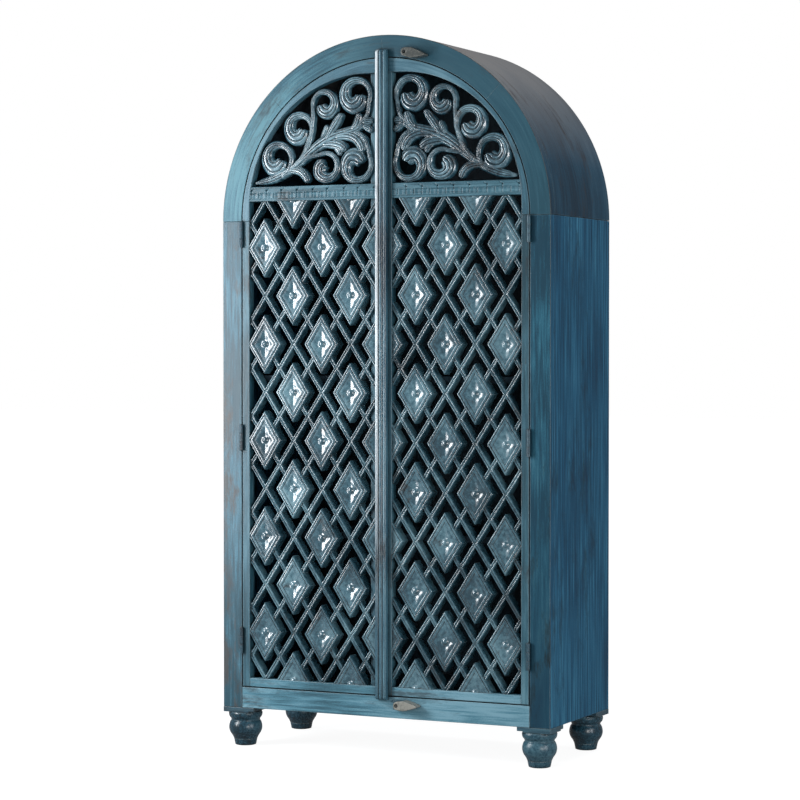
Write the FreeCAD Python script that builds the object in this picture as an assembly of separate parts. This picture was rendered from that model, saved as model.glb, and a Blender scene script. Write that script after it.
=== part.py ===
import FreeCAD, Part
import math
import os

from FreeCAD import Vector

# Tall arched cabinet on turned feet, with two carved and pierced doors.
# Millimetres, Z up. The front faces -Y, the origin is on the floor below the
# middle of the whole outline. Shapes are built with y = 0 on the face of the
# front frame and moved to that origin when they are written.

# Carcase sizes
cabinet_width = 1000.0
carcase_depth = 430.0
carcase_bottom = 110.0
spring_height = 1482.0
board_thick = 18.0
back_thick = 12.0
dado_depth = 6.0
shelf_count = 3
shelf_setback = 12.0
door_stop_rise = 12.0
corner_block_size = 70.0

# Face frame sizes
frame_thick = 28.0
frame_width = 60.0
bottom_rail_height = 59.0
arch_piece_count = 4
spline_width = 26.0
spline_length = 30.0
spline_thick = 8.0
rail_tenon_length = 30.0
rail_tenon_thick = 10.0
rail_tenon_shoulder = 11.0

# Foot sizes
plate_width = 97.0
plate_depth = 92.0
plate_thick = 14.0
plate_step = 10.5
plate_inset = 17.0
foot_from_side = 48.0
foot_from_front = 42.0
foot_from_back = 51.0
foot_base_radius = 30.0
foot_ankle_radius = 33.5
foot_bun_radius = 47.2
foot_neck_radius = 41.0
foot_collar_radius = 48.0
foot_edge_round = 2.5
spigot_radius = 10.0
spigot_rise = 38.0

# Door sizes
door_gap = 2.5
door_back_gap = 0.5
meeting_gap = 2.5
meeting_offset = 14.0
hinge_stile_width = 22.5
meeting_stile_width = 44.0
lapped_stile_width = 24.0
lapped_stile_thick = 14.0
door_bottom_rail = 24.0
crown_rail_height = 39.5
rail_arc_offset = 50.0
transom_rise = 54.0
transom_height = 41.0
door_tenon_length = 14.0
door_tenon_thick = 9.0
door_tenon_shoulder = 4.0

# Lattice sizes
lattice_rows = 10
lattice_pitch = 89.4
lattice_top_lap = 5.0
lattice_bottom_lap = 2.5
lattice_side_lap = 5.5
bar_width = 12.2
bar_recess = 5.0
lattice_back = 36.0
boss_half_width = 53.0
boss_half_height = 83.0
boss_chamfer = 3.5
boss_field_depth = 6.0
boss_field_share = 0.66
knob_radius = 12.5

# Scroll panel sizes
scroll_recess = 2.0
scroll_thick = 21.0
scroll_band = 15.0
bud_share = 0.46

# Meeting strip sizes
strip_width = 34.0
strip_stand = 18.0
strip_reed_radius = 5.5
strip_lap = 20.0
strip_foot_lap = 9.0
strip_relief = 0.4

# Hinge sizes
hinge_count = 3
top_hinge_drop = 38.0
bottom_hinge_rise = 129.5
hinge_length = 72.0
hinge_leaf_width = 20.0
hinge_leaf_thick = 2.0
hinge_leaf_gap = 0.5
knuckle_radius = 5.0
knuckle_stand = 5.5
knuckle_gap = 0.3
hinge_pin_radius = 2.4
hinge_pin_clearance = 0.05
pin_head_radius = 3.6
pin_head_height = 2.0
hinge_screws_per_leaf = 3
hinge_screw_pitch = 24.0
hinge_screw_from_edge = 12.0
hinge_screw_radius = 1.8
hinge_screw_head_radius = 3.6
hinge_screw_length = 17.0

# Turn button sizes
top_button_out = 81.0
bottom_button_out = 57.4
top_button_from_opening = 15.0
bottom_button_from_rail_top = 20.0
button_block_width = 30.0
button_block_height = 25.0
button_block_thick = 18.0
button_thick = 12.0
button_reach = 60.0
button_head_reach = 9.0
button_half_width = 13.5
button_tip_half_width = 3.0
button_run_gap = 0.2
button_tail_gap = 0.6
button_droop_deg = 10.0
button_screw_radius = 2.4
button_screw_clearance = 0.05
button_screw_head_radius = 4.5
button_screw_head_height = 2.5
button_counterbore_radius = 5.2
button_counterbore_depth = 4.2
button_screw_depth = 22.0
screw_slot_width = 1.2
screw_slot_depth = 1.0

# One overrun serves every cut that runs past a face
overrun = 20.0

# Sizes worked out from the ones above
half_width = cabinet_width / 2
opening_radius = half_width - frame_width
rail_top = carcase_bottom + bottom_rail_height
inside_half = half_width - board_thick
back_y = carcase_depth - back_thick
floor_top = rail_top + door_stop_rise
floor_bottom = floor_top - board_thick
shelf_pitch = (spring_height - floor_top) / shelf_count
foot_height = carcase_bottom - plate_thick
front_stand = button_block_thick + button_run_gap + button_thick
front_y = (front_stand - carcase_depth) / 2

door_radius = opening_radius - door_gap
door_thick = frame_thick - door_back_gap
door_bottom = rail_top + door_gap
stile_inner = door_radius - hinge_stile_width
crown_inner = spring_height + door_radius - crown_rail_height
rail_arc_radius = stile_inner - rail_arc_offset
rail_arc_height = crown_inner - rail_arc_radius
lattice_bottom = door_bottom + door_bottom_rail
transom_bottom = spring_height + transom_rise
transom_top = transom_bottom + transom_height

hinge_axis_out = door_radius + door_gap / 2
hinge_axis_y = -knuckle_stand
leaf_start_y = knuckle_gap
lowest_hinge = door_bottom + bottom_hinge_rise
hinge_pitch = (spring_height - top_hinge_drop - lowest_hinge) / (hinge_count - 1)
hinge_heights = [lowest_hinge + hinge_pitch * i for i in range(hinge_count)]

parts = {}


def slab(x0, x1, y0, y1, z0, z1):
    """Box between two corners."""
    return Part.makeBox(x1 - x0, y1 - y0, z1 - z0, Vector(x0, y0, z0))


def rod(radius, start, length, direction):
    """Round bar from a start point along a direction."""
    return Part.makeCylinder(radius, length, start, direction)


def prism(wire_edges, y0, y1):
    """Closed outline in the XZ plane, drawn at y = 0, given a thickness in Y."""
    face = Part.Face(Part.Wire(wire_edges))
    face.translate(Vector(0, y0, 0))
    return face.extrude(Vector(0, y1 - y0, 0))


def line(a, b):
    return Part.LineSegment(Vector(a[0], 0, a[1]), Vector(b[0], 0, b[1])).toShape()


def arc(a, b, c):
    """Arc from a to c through b, in the XZ plane."""
    points = [Vector(p[0], 0, p[1]) for p in (a, b, c)]
    return Part.Arc(*points).toShape()


def loop(points):
    """Straight sided outline through the points."""
    return [line(points[i - 1], points[i]) for i in range(len(points))]


def on_circle(centre, radius, degrees):
    turn = math.radians(degrees)
    return (centre[0] + radius * math.cos(turn), centre[1] + radius * math.sin(turn))


def ring_piece(centre, inner, outer, start, end, y0, y1):
    """Part of a flat ring between two angles."""
    middle = (start + end) / 2
    edges = [
        arc(*[on_circle(centre, outer, a) for a in (start, middle, end)]),
        line(on_circle(centre, outer, end), on_circle(centre, inner, end)),
        arc(*[on_circle(centre, inner, a) for a in (end, middle, start)]),
        line(on_circle(centre, inner, start), on_circle(centre, outer, start)),
    ]
    return prism(edges, y0, y1)


def tombstone(radius, bottom, y0, y1):
    """Board with a half round top that springs at the spring line."""
    edges = [
        line((-radius, spring_height), (-radius, bottom)),
        line((-radius, bottom), (radius, bottom)),
        line((radius, bottom), (radius, spring_height)),
        arc((radius, spring_height), (0, spring_height + radius), (-radius, spring_height)),
    ]
    return prism(edges, y0, y1)


def mirrored(shape, side):
    """Left hand copy for side -1, the shape itself for side 1."""
    if side > 0:
        return shape
    return shape.mirror(Vector(0, 0, 0), Vector(1, 0, 0))


def add(name, shape):
    parts[name] = shape


def spline_boxes():
    """Loose tongues that join the pieces of the arch to each other and to the posts."""
    step = 180.0 / arch_piece_count
    middle = opening_radius + frame_width / 2
    tongues = []
    for i in range(arch_piece_count + 1):
        tongue = slab(
            middle - spline_width / 2,
            middle + spline_width / 2,
            (frame_thick - spline_thick) / 2,
            (frame_thick + spline_thick) / 2,
            -spline_length / 2,
            spline_length / 2,
        )
        tongue.rotate(Vector(0, 0, 0), Vector(0, -1, 0), i * step)
        tongue.translate(Vector(0, 0, spring_height))
        tongues.append(tongue)
    return tongues


def frame_tenon(side):
    """Tenon of the bottom rail in one post."""
    y0 = (frame_thick - rail_tenon_thick) / 2
    tenon = slab(
        opening_radius,
        opening_radius + rail_tenon_length,
        y0,
        y0 + rail_tenon_thick,
        carcase_bottom + rail_tenon_shoulder,
        rail_top - rail_tenon_shoulder,
    )
    return mirrored(tenon, side)


def hinge_recess(leaf_x0, leaf_x1):
    """Shallow housings for the hinge leaves of one stile or post."""
    return [
        slab(
            leaf_x0,
            leaf_x1,
            -overrun,
            leaf_start_y + hinge_leaf_width,
            z - hinge_length / 2,
            z + hinge_length / 2,
        )
        for z in hinge_heights
    ]


def hinge_screw(height, inward):
    """Countersunk wood screw; inward is 1 into the post, -1 into the door."""
    face = hinge_axis_out + inward * hinge_leaf_gap / 2
    y = leaf_start_y + hinge_screw_from_edge
    head = Part.makeCone(
        hinge_screw_head_radius,
        hinge_screw_radius,
        hinge_leaf_thick,
        Vector(face, y, height),
        Vector(inward, 0, 0),
    )
    shank = rod(hinge_screw_radius, Vector(face, y, height), hinge_screw_length, Vector(inward, 0, 0))
    return head.fuse(shank)


def hinge_screws(inward):
    first = -hinge_screw_pitch * (hinge_screws_per_leaf - 1) / 2
    return [
        hinge_screw(z + first + hinge_screw_pitch * i, inward)
        for z in hinge_heights
        for i in range(hinge_screws_per_leaf)
    ]


def hinge_leaf(centre, inward):
    """One leaf of a butt hinge: the post leaf has the outer knuckles."""
    low = centre - hinge_length / 2
    third = hinge_length / 3
    x_near = hinge_axis_out + inward * hinge_leaf_gap / 2
    x_far = x_near + inward * hinge_leaf_thick
    x0, x1 = sorted((x_near, x_far))
    leaf = slab(x0, x1, leaf_start_y, leaf_start_y + hinge_leaf_width, low, low + hinge_length)
    if inward > 0:
        spans = [
            (low, low + third - knuckle_gap / 2),
            (low + 2 * third + knuckle_gap / 2, low + hinge_length),
        ]
        bore = hinge_pin_radius
    else:
        spans = [(low + third + knuckle_gap / 2, low + 2 * third - knuckle_gap / 2)]
        bore = hinge_pin_radius + hinge_pin_clearance
    for z0, z1 in spans:
        barrel = rod(knuckle_radius, Vector(hinge_axis_out, hinge_axis_y, z0), z1 - z0, Vector(0, 0, 1))
        web = slab(x0, x1, hinge_axis_y, leaf_start_y, z0, z1)
        leaf = leaf.fuse([barrel, web])
    hole = rod(
        bore,
        Vector(hinge_axis_out, hinge_axis_y, low - overrun),
        hinge_length + 2 * overrun,
        Vector(0, 0, 1),
    )
    return leaf.cut(hole).removeSplitter()


def hinge_pin(centre):
    """Loose pin with a small round head on top of the knuckles."""
    low = centre - hinge_length / 2
    start = Vector(hinge_axis_out, hinge_axis_y, low)
    pin = rod(hinge_pin_radius, start, hinge_length, Vector(0, 0, 1))
    head_start = Vector(hinge_axis_out, hinge_axis_y, low + hinge_length)
    head = rod(pin_head_radius, head_start, pin_head_height, Vector(0, 0, 1))
    return pin.fuse(head)


def button_pivots():
    """Pivot places, as x and height, of the top and the bottom turn button."""
    pivot_radius = opening_radius + top_button_from_opening
    top_height = spring_height + math.sqrt(pivot_radius ** 2 - top_button_out ** 2)
    return {
        "top": (top_button_out, top_height),
        "bottom": (bottom_button_out, rail_top - bottom_button_from_rail_top),
    }


def button_screw(pivot):
    """Slotted round screw on which a turn button turns."""
    head_back = -front_stand + button_counterbore_depth - button_run_gap
    axis = Vector(0, 1, 0)
    head = rod(
        button_screw_head_radius,
        Vector(pivot[0], head_back - button_screw_head_height, pivot[1]),
        button_screw_head_height,
        axis,
    )
    slot = slab(
        pivot[0] - overrun,
        pivot[0] + overrun,
        head_back - button_screw_head_height - overrun,
        head_back - button_screw_head_height + screw_slot_depth,
        pivot[1] - screw_slot_width / 2,
        pivot[1] + screw_slot_width / 2,
    )
    shank_length = button_screw_depth - head_back
    shank = rod(button_screw_radius, Vector(pivot[0], head_back, pivot[1]), shank_length, axis)
    return head.cut(slot).fuse(shank)


def screw_hole(pivot, radius):
    """Hole along the pivot of a turn button, as deep as its screw."""
    start = Vector(pivot[0], -front_stand - overrun, pivot[1])
    return rod(radius, start, front_stand + overrun + button_screw_depth, Vector(0, 1, 0))


def build_face_frame():
    """Posts, arch pieces, loose tongues and the bottom rail."""
    pivots = button_pivots()
    tongues = spline_boxes()
    add("arch_splines", Part.Compound(tongues))
    step = 180.0 / arch_piece_count
    for i in range(arch_piece_count):
        piece = ring_piece(
            (0, spring_height),
            opening_radius,
            half_width,
            i * step,
            (i + 1) * step,
            0,
            frame_thick,
        )
        piece = piece.cut([tongues[i], tongues[i + 1], screw_hole(pivots["top"], button_screw_radius)])
        add("frame_arch_" + str(i + 1), piece)
    rail = slab(-opening_radius, opening_radius, 0, frame_thick, carcase_bottom, rail_top)
    rail = rail.fuse([frame_tenon(1), frame_tenon(-1)])
    rail = rail.cut(screw_hole(pivots["bottom"], button_screw_radius))
    add("frame_bottom_rail", rail.removeSplitter())
    for side, name in ((1, "right"), (-1, "left")):
        post = slab(opening_radius, half_width, 0, frame_thick, carcase_bottom, spring_height)
        leaf_outer = hinge_axis_out + hinge_leaf_gap / 2 + hinge_leaf_thick
        post = post.cut(hinge_recess(opening_radius - overrun, leaf_outer) + hinge_screws(1))
        post = mirrored(post, side).cut([frame_tenon(side), tongues[0], tongues[-1]])
        add("frame_post_" + name, post)


def shelf_levels():
    """Undersides of the floor board and of each shelf."""
    levels = [floor_bottom]
    for i in range(shelf_count):
        levels.append(floor_top + (i + 1) * shelf_pitch - board_thick)
    return levels


def build_boards():
    """Sides, roof, back, floor board and shelves."""
    levels = shelf_levels()
    for side, name in ((1, "right"), (-1, "left")):
        panel = slab(inside_half, half_width, frame_thick, carcase_depth, carcase_bottom, spring_height)
        fronts = [frame_thick] + [frame_thick + shelf_setback] * shelf_count
        dados = [
            slab(inside_half - overrun, inside_half + dado_depth, y0, back_y, z, z + board_thick)
            for z, y0 in zip(levels, fronts)
        ]
        add("side_panel_" + name, mirrored(panel.cut(dados), side))
    roof = ring_piece((0, spring_height), inside_half, half_width, 0, 180, frame_thick, carcase_depth)
    add("roof_board", roof)
    add("back_panel", tombstone(inside_half, carcase_bottom, back_y, carcase_depth))
    reach = inside_half + dado_depth
    add("floor_board", slab(-reach, reach, frame_thick, back_y, floor_bottom, floor_top))
    for i, z in enumerate(levels[1:]):
        shelf = slab(-reach, reach, frame_thick + shelf_setback, back_y, z, z + board_thick)
        add("shelf_" + str(i + 1), shelf)


def foot_profile():
    """Half outline of a turned foot, from the floor up to the top of its spigot."""
    ankle_share, swell_share, bun_share, neck_share = 0.2, 0.33, 0.52, 0.74
    cushion_share, collar_share = 0.84, 0.95
    ankle_z = ankle_share * foot_height
    swell = foot_ankle_radius + (foot_bun_radius - foot_ankle_radius) * 0.65
    shoulder_z = neck_share * foot_height - foot_edge_round
    shoulder = foot_neck_radius + foot_edge_round
    cushion = foot_neck_radius + (foot_collar_radius - foot_neck_radius) * 0.8
    top = foot_height + plate_thick + spigot_rise
    return [
        line((0, 0), (foot_base_radius - foot_edge_round, 0)),
        line((foot_base_radius - foot_edge_round, 0), (foot_base_radius, foot_edge_round)),
        line((foot_base_radius, foot_edge_round), (foot_ankle_radius, ankle_z)),
        line((foot_ankle_radius, ankle_z), (swell, swell_share * foot_height)),
        arc(
            (swell, swell_share * foot_height),
            (foot_bun_radius, bun_share * foot_height),
            (shoulder, shoulder_z),
        ),
        line((shoulder, shoulder_z), (foot_neck_radius, neck_share * foot_height)),
        arc(
            (foot_neck_radius, neck_share * foot_height),
            (cushion, cushion_share * foot_height),
            (foot_collar_radius, collar_share * foot_height),
        ),
        line((foot_collar_radius, collar_share * foot_height), (cushion, foot_height)),
        line((cushion, foot_height), (spigot_radius, foot_height)),
        line((spigot_radius, foot_height), (spigot_radius, top)),
        line((spigot_radius, top), (0, top)),
        line((0, top), (0, 0)),
    ]


def build_feet():
    """Turned feet, their moulded mounting plates and the blocks that hold the spigots."""
    face = Part.Face(Part.Wire(foot_profile()))
    foot = face.revolve(Vector(0, 0, 0), Vector(0, 0, 1), 360)
    foot_x = half_width - foot_from_side
    places = (
        ("front", foot_from_front, 0, frame_thick),
        ("back", carcase_depth - foot_from_back, carcase_depth - plate_depth, back_y - corner_block_size),
    )
    for place, foot_y, plate_y, block_y in places:
        leg = foot.copy()
        leg.translate(Vector(foot_x, foot_y, 0))
        plate_x = half_width - plate_width
        upper = slab(
            plate_x,
            half_width,
            plate_y,
            plate_y + plate_depth,
            carcase_bottom - plate_step,
            carcase_bottom,
        )
        inset_front = plate_inset if place == "back" else 0
        inset_back = plate_inset if place == "front" else 0
        lower = slab(
            plate_x + plate_inset,
            half_width,
            plate_y + inset_front,
            plate_y + plate_depth - inset_back,
            foot_height,
            carcase_bottom - plate_step,
        )
        plate = upper.fuse(lower).cut(leg)
        block = slab(
            inside_half - corner_block_size,
            inside_half,
            block_y,
            block_y + corner_block_size,
            carcase_bottom,
            floor_bottom,
        )
        block = block.cut(leg)
        for side, name in ((1, "right"), (-1, "left")):
            add("foot_" + place + "_" + name, mirrored(leg, side))
            add("foot_plate_" + place + "_" + name, mirrored(plate, side))
            add("corner_block_" + place + "_" + name, mirrored(block, side))


def door_inside(low_x, y0, y1):
    """Space inside the stiles and the arched rail of a door, up to the crown."""
    rise = rail_arc_radius * math.sqrt(0.5)
    edges = [
        line((low_x, lattice_bottom), (stile_inner, lattice_bottom)),
        line((stile_inner, lattice_bottom), (stile_inner, rail_arc_height)),
        arc(
            (stile_inner, rail_arc_height),
            (rail_arc_offset + rise, rail_arc_height + rise),
            (rail_arc_offset, crown_inner),
        ),
        line((rail_arc_offset, crown_inner), (low_x, crown_inner)),
        line((low_x, crown_inner), (low_x, lattice_bottom)),
    ]
    return prism(edges, y0, y1)


def lattice_hole(x, z):
    """Diamond opening between four bars."""
    slope = math.atan2(lattice_pitch_up(), lattice_pitch)
    half_x = lattice_pitch / 2 - bar_width / 2 / math.sin(slope)
    half_z = lattice_pitch_up() / 2 - bar_width / 2 / math.cos(slope)
    return diamond(x, z, half_x, half_z, -overrun, lattice_back + overrun)


def diamond_outline(x, z, half_x, half_z):
    return loop([(x - half_x, z), (x, z - half_z), (x + half_x, z), (x, z + half_z)])


def diamond(x, z, half_x, half_z, y0, y1):
    return prism(diamond_outline(x, z, half_x, half_z), y0, y1)


def lattice_top():
    return transom_bottom + lattice_top_lap


def lattice_pitch_up():
    """Height between one row of diamonds and the next."""
    return (lattice_top() - lattice_bottom + lattice_bottom_lap) / lattice_rows


def carved_boss():
    """Raised diamond with chamfered edges, a sunk field and a round knob in its middle."""
    body = diamond(0, 0, boss_half_width, boss_half_height, boss_chamfer, lattice_back)
    face_share = 1 - boss_chamfer / boss_half_width
    wide = Part.Wire(diamond_outline(0, 0, boss_half_width, boss_half_height))
    wide.translate(Vector(0, boss_chamfer, 0))
    narrow = Part.Wire(diamond_outline(0, 0, boss_half_width * face_share, boss_half_height * face_share))
    front = Part.makeLoft([wide, narrow], True, True)
    field = diamond(
        0,
        0,
        boss_half_width * boss_field_share,
        boss_half_height * boss_field_share,
        -overrun,
        boss_field_depth,
    )
    sphere_radius = (knob_radius ** 2 + boss_field_depth ** 2) / (2 * boss_field_depth)
    centre = Vector(0, sphere_radius, 0)
    knob = Part.makeSphere(sphere_radius, centre, Vector(0, -1, 0), 0, 90, 360)
    return body.fuse(front).cut(field).fuse(knob).removeSplitter()


def lattice_columns(low_x):
    """Distances of the diamond columns from the middle, the outermost first."""
    columns = []
    x = stile_inner - boss_half_width + lattice_side_lap
    while x > low_x - boss_half_width:
        columns.append(x)
        x -= lattice_pitch
    return columns


def build_lattice(low_x):
    """Pierced panel of crossing bars with a carved diamond on every other crossing."""
    space = door_inside(low_x, -overrun, lattice_back + overrun)
    below = slab(low_x, half_width, -overrun, lattice_back + overrun, lattice_bottom, transom_bottom)
    space = space.common(below)
    panel = space.common(slab(low_x, half_width, bar_recess, lattice_back, lattice_bottom, transom_bottom))
    columns = lattice_columns(low_x)
    holes = []
    for level in range(2 * lattice_rows + 1):
        z = lattice_top() - level * lattice_pitch_up() / 2
        shift = lattice_pitch / 2 if level % 2 == 0 else 0
        for x in columns + [columns[-1] - lattice_pitch]:
            holes.append(lattice_hole(x + shift, z))
    panel = panel.cut(holes)
    boss = carved_boss()
    bosses = []
    for row in range(lattice_rows + 1):
        for i, x in enumerate(columns):
            if (row + i) % 2 == 0:
                continue
            copy = boss.copy()
            copy.translate(Vector(x, 0, lattice_top() - row * lattice_pitch_up()))
            bosses.append(copy.common(space))
    return panel.fuse(bosses).removeSplitter()


def scroll_point(point):
    """Place on a door from shares of the door's arch radius, from the spring line."""
    return (point[0] * door_radius, spring_height + point[1] * door_radius)


def stem(points, width, y0, y1):
    """Curved stem of even width along the arc through three places."""
    a, b, c = [scroll_point(p) for p in points]
    circle = Part.Arc(*[Vector(p[0], p[1], 0) for p in (a, b, c)]).toShape().Curve
    centre = (circle.Center.x, circle.Center.y)
    angles = [math.degrees(math.atan2(p[1] - centre[1], p[0] - centre[0])) for p in (a, b, c)]
    swing = (angles[2] - angles[0]) % 360.0
    through = (angles[1] - angles[0]) % 360.0
    if through > swing:
        swing -= 360.0
    first, last = sorted((angles[0], angles[0] + swing))
    bar = ring_piece(centre, circle.Radius - width / 2, circle.Radius + width / 2, first, last, y0, y1)
    ends = [
        rod(width / 2, Vector(p[0], y0, p[1]), y1 - y0, Vector(0, 1, 0))
        for p in (a, c)
    ]
    return [bar] + ends


def curl(x_share, z_share, radius_share, bud_deg, y0, y1):
    """Round scroll: an open ring with a bud that grows from its inner edge."""
    x, z = scroll_point((x_share, z_share))
    radius = radius_share * door_radius
    ring = rod(radius, Vector(x, y0, z), y1 - y0, Vector(0, 1, 0))
    hole_start = Vector(x, y0 - overrun, z)
    ring = ring.cut(rod(radius - scroll_band, hole_start, y1 - y0 + 2 * overrun, Vector(0, 1, 0)))
    bud_radius = bud_share * radius
    bud_x, bud_z = on_circle((x, z), radius - scroll_band - bud_radius * bud_share, bud_deg)
    bud = rod(bud_radius, Vector(bud_x, y0, bud_z), y1 - y0, Vector(0, 1, 0))
    return [ring, bud]


def build_scroll_panel(low_x):
    """Pierced acanthus scrolls that fill the arched top of a door."""
    y0 = scroll_recess
    y1 = scroll_recess + scroll_thick
    curl_shares = (
        (0.201, 0.788, 0.124, -60),
        (0.409, 0.735, 0.096, -70),
        (0.594, 0.587, 0.108, -80),
        (0.752, 0.394, 0.122, -100),
        (0.398, 0.325, 0.096, -70),
        (0.190, 0.332, 0.122, -90),
    )
    main_width, branch_width = scroll_band * 1.4, scroll_band * 0.85
    stem_shares = (
        ((0.925, 0.235), (0.730, 0.275), (0.569, 0.382), main_width),
        ((0.569, 0.382), (0.345, 0.520), (0.110, 0.585), main_width),
        ((0.576, 0.395), (0.510, 0.535), (0.495, 0.725), branch_width),
        ((0.600, 0.365), (0.545, 0.445), (0.500, 0.580), branch_width),
        ((0.700, 0.290), (0.655, 0.335), (0.640, 0.400), branch_width),
        ((0.600, 0.365), (0.500, 0.420), (0.400, 0.415), branch_width),
        ((0.120, 0.590), (0.092, 0.680), (0.090, 0.790), branch_width),
        ((0.290, 0.535), (0.160, 0.530), (0.085, 0.340), branch_width),
        ((0.391, 0.507), (0.350, 0.580), (0.300, 0.665), branch_width),
        ((0.690, 0.285), (0.600, 0.306), (0.540, 0.224), branch_width),
        ((0.120, 0.580), (0.095, 0.560), (0.045, 0.575), main_width),
        ((0.925, 0.224), (0.880, 0.228), (0.820, 0.224), branch_width),
    )
    pieces = []
    for shares in curl_shares:
        pieces += curl(*shares, y0, y1)
    for a, b, c, width in stem_shares:
        pieces += stem((a, b, c), width, y0, y1)
    fretwork = pieces[0].fuse(pieces[1:])
    space = door_inside(low_x, -overrun, door_thick + overrun)
    above = slab(low_x, half_width, -overrun, door_thick + overrun, transom_top, crown_inner)
    return fretwork.common(space.common(above)).removeSplitter()


def build_strip(centre_x):
    """Reeded strip on the meeting stile; it laps over the frame at both ends."""
    half = strip_width / 2
    reed = 2 * half / 3
    base = -strip_stand + strip_reed_radius
    points = [(-half, 0), (-half, base), (half, base), (half, 0)]
    low = rail_top - strip_foot_lap
    high = spring_height + opening_radius + strip_lap
    edges = [
        Part.LineSegment(Vector(points[i - 1][0], points[i - 1][1], low),
                         Vector(points[i][0], points[i][1], low)).toShape()
        for i in range(len(points))
    ]
    strip = Part.Face(Part.Wire(edges)).extrude(Vector(0, 0, high - low))
    reeds = []
    for i in range(3):
        x = -half + reed * (i + 0.5)
        reeds.append(rod(strip_reed_radius, Vector(x, base, low), high - low, Vector(0, 0, 1)))
    strip = strip.fuse(reeds)
    strip.translate(Vector(centre_x, 0, 0))
    behind_low = slab(-half_width, half_width, -strip_relief, overrun, low - overrun, rail_top)
    lift = spring_height + opening_radius - door_gap
    behind_high = slab(-half_width, half_width, -strip_relief, overrun, lift, high + overrun)
    return strip.cut([behind_low, behind_high]).removeSplitter()


def door_tenon(low_x, high_x, z0, z1):
    """Tenon of a door rail, centred in the thickness of the door."""
    y0 = (door_thick - door_tenon_thick) / 2
    return slab(low_x, high_x, y0, y0 + door_tenon_thick, z0 + door_tenon_shoulder, z1 - door_tenon_shoulder)


def build_door(side):
    """All wooden pieces and hinge halves of one door, hinged at its outer edge."""
    name = "right_door_" if side > 0 else "left_door_"
    if side > 0:
        edge_x = -meeting_offset
        stile_x = edge_x + meeting_stile_width
        panel_x = stile_x
        stile_y = 0
    else:
        edge_x = meeting_offset + meeting_gap
        stile_x = edge_x + lapped_stile_width
        panel_x = edge_x
        stile_y = door_thick - lapped_stile_thick
    pieces = {}
    blank = tombstone(door_radius, door_bottom, 0, door_thick)
    blank = blank.common(slab(edge_x, door_radius, 0, door_thick, door_bottom, spring_height + door_radius))
    inside = door_inside(edge_x - overrun, -overrun, door_thick + overrun)
    recess = hinge_recess(hinge_axis_out - hinge_leaf_gap / 2 - hinge_leaf_thick, half_width)

    rail_tenon = door_tenon(stile_inner - overrun, stile_inner + door_tenon_length, door_bottom, lattice_bottom)
    transom_reach = rail_arc_offset + math.sqrt(
        rail_arc_radius ** 2 - (transom_top - rail_arc_height) ** 2
    )
    transom_tenon = door_tenon(
        transom_reach - overrun, transom_reach + door_tenon_length, transom_bottom, transom_top
    )
    stile = blank.common(slab(stile_inner, half_width, 0, door_thick, door_bottom, spring_height))
    pieces["hinge_stile"] = stile.cut(recess + hinge_screws(-1) + [rail_tenon])
    arched = blank.common(slab(edge_x, half_width, 0, door_thick, spring_height, spring_height + half_width))
    pieces["arched_rail"] = arched.cut([inside, transom_tenon])

    meeting = slab(edge_x, stile_x, stile_y, door_thick, door_bottom, crown_inner)
    bottom = slab(panel_x, stile_inner, 0, door_thick, door_bottom, lattice_bottom)
    transom = slab(panel_x, half_width, 0, door_thick, transom_bottom, transom_top).common(inside)
    bottom = bottom.fuse(rail_tenon)
    transom = transom.fuse(transom_tenon.cut(transom))
    if side > 0:
        for z0, z1 in ((door_bottom, lattice_bottom), (transom_bottom, transom_top)):
            tenon = door_tenon(stile_x - door_tenon_length, stile_x + overrun, z0, z1)
            meeting = meeting.cut(tenon)
            if z0 == door_bottom:
                bottom = bottom.fuse(tenon)
            else:
                transom = transom.fuse(tenon)
    else:
        bottom = bottom.cut(meeting)
        transom = transom.cut(meeting)
    pieces["meeting_stile"] = meeting
    pieces["bottom_rail"] = bottom.removeSplitter()
    pieces["transom"] = transom.removeSplitter()
    rebate = slab(edge_x - overrun, stile_x, stile_y, lattice_back + overrun, door_bottom, crown_inner)
    pieces["lattice"] = build_lattice(panel_x)
    pieces["scroll_panel"] = build_scroll_panel(panel_x)
    if side < 0:
        pieces["lattice"] = pieces["lattice"].cut(rebate)
        pieces["scroll_panel"] = pieces["scroll_panel"].cut(rebate)
    if side > 0:
        pieces["meeting_strip"] = build_strip(edge_x + strip_width / 2)
    screws = hinge_screws(-1)
    leaves = [hinge_leaf(z, -1).cut(screws) for z in hinge_heights]
    pieces["hinge_leaves"] = Part.Compound(leaves)
    pieces["hinge_screws"] = Part.Compound(screws)
    for key, shape in pieces.items():
        add(name + key, mirrored(shape, side))


def build_frame_hinges():
    """Hinge halves, pins and screws that stay on the posts."""
    screws = hinge_screws(1)
    leaves = [hinge_leaf(z, 1).cut(screws) for z in hinge_heights]
    pins = [hinge_pin(z) for z in hinge_heights]
    for side, name in ((1, "right"), (-1, "left")):
        add("frame_hinge_leaves_" + name, mirrored(Part.Compound(leaves), side))
        add("hinge_pins_" + name, mirrored(Part.Compound(pins), side))
        add("frame_hinge_screws_" + name, mirrored(Part.Compound(screws), side))


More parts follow.
